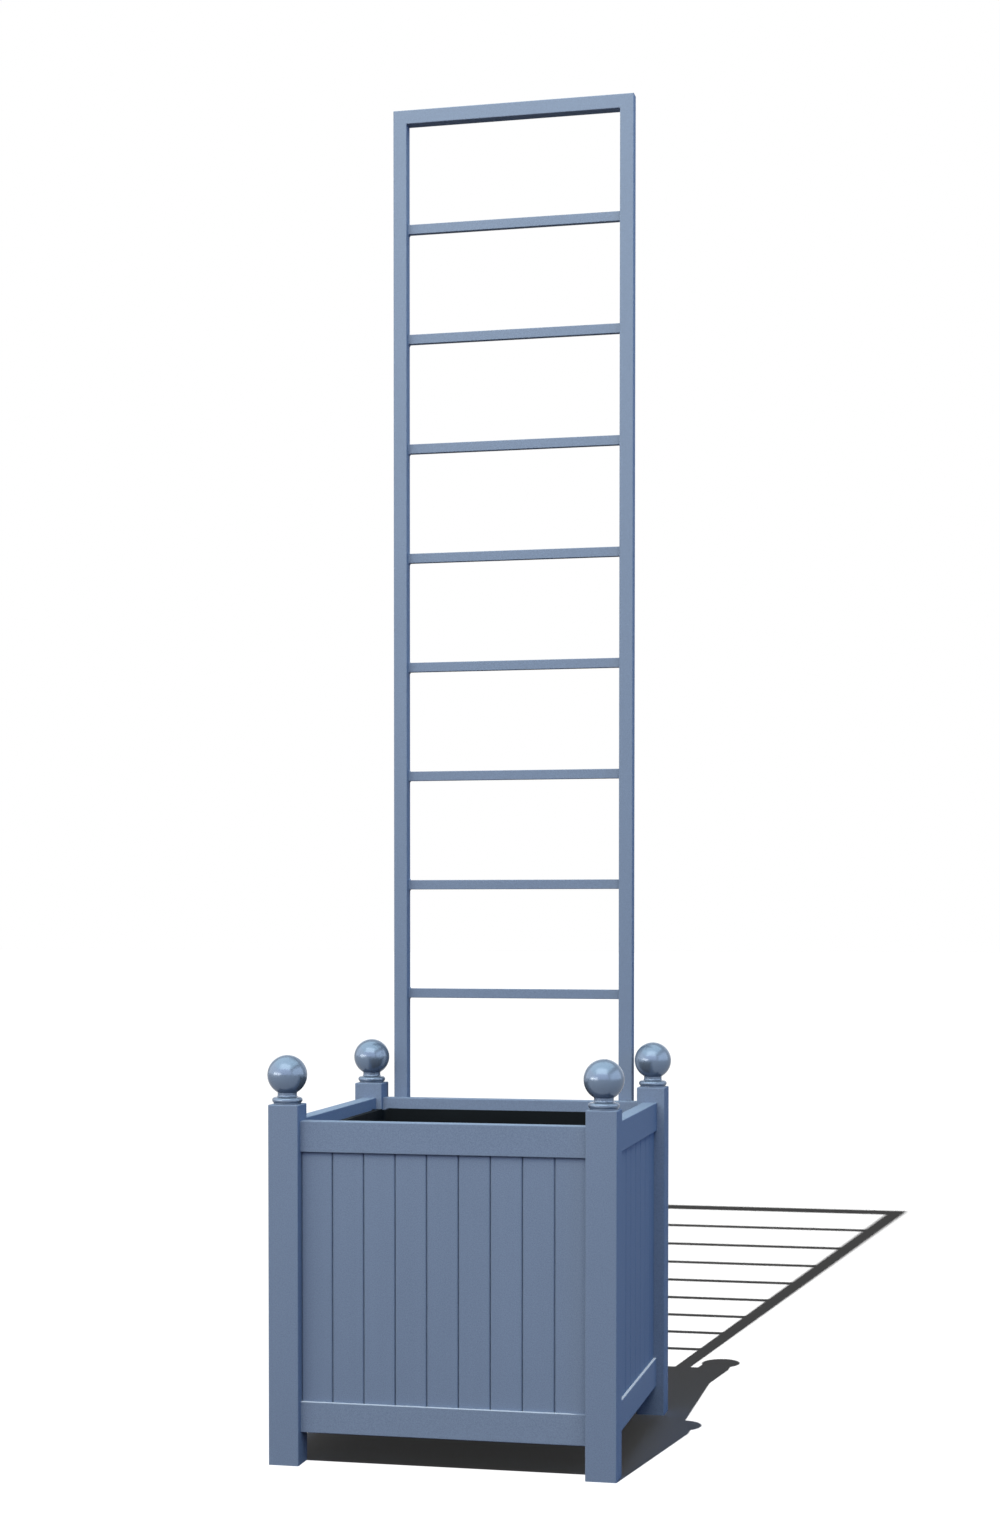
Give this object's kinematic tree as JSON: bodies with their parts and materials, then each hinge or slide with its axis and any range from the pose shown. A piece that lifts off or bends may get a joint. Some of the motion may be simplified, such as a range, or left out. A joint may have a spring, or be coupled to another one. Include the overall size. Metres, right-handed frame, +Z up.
{
  "type": "versailles planter",
  "caption": "Square planter box on corner posts with ball finials, board sides, a lift-out liner and a tall ladder trellis on its back.",
  "frame": {"origin": "on the ground, under the middle of the object's bounding box", "axes": "+Z up, front towards -Y, trellis towards +Y"},
  "size_m": [0.615, 0.6212, 2.472],
  "materials": {
    "frame_paint": "satin",
    "board_paint": "satin",
    "finial_paint": "gloss",
    "liner_black": "matte",
    "plug_black": "matte",
    "fastener_zinc": "satin"
  },
  "bodies": {
    "planter": {"post_front_left": "frame_paint", "post_front_right": "frame_paint", "post_rear_right": "frame_paint", "post_rear_left": "frame_paint", "post_caps": "frame_paint", "foot_plugs": "plug_black", "finial_front_left": "finial_paint", "finial_front_right": "finial_paint", "finial_rear_right": "finial_paint", "finial_rear_left": "finial_paint", "finial_studs": "fastener_zinc", "finial_nuts": "fastener_zinc", "top_rail_front": "frame_paint", "top_rail_right": "frame_paint", "top_rail_rear": "frame_paint", "top_rail_left": "frame_paint", "bottom_rail_front": "frame_paint", "bottom_rail_right": "frame_paint", "bottom_rail_rear": "frame_paint", "bottom_rail_left": "frame_paint", "boards_front": "board_paint", "boards_right": "board_paint", "boards_rear": "board_paint", "boards_left": "board_paint", "rail_bolts": "fastener_zinc", "rail_nuts": "fastener_zinc", "bearer_left": "frame_paint", "bearer_centre": "frame_paint", "bearer_right": "frame_paint", "bearer_screws": "fastener_zinc", "trellis_upright_left": "frame_paint", "trellis_upright_right": "frame_paint", "trellis_top_rail": "frame_paint", "trellis_rung_1": "frame_paint", "trellis_rung_2": "frame_paint", "trellis_rung_3": "frame_paint", "trellis_rung_4": "frame_paint", "trellis_rung_5": "frame_paint", "trellis_rung_6": "frame_paint", "trellis_rung_7": "frame_paint", "trellis_rung_8": "frame_paint", "trellis_plugs": "plug_black", "trellis_bolts": "fastener_zinc", "trellis_nuts": "fastener_zinc"},
    "liner": {"liner": "liner_black"}
  },
  "joints": [
    {"name": "liner_lift", "type": "slide", "parent": "planter", "child": "liner", "axis": [0, 0, 1], "range_m": [0, 0.6]}
  ]
}
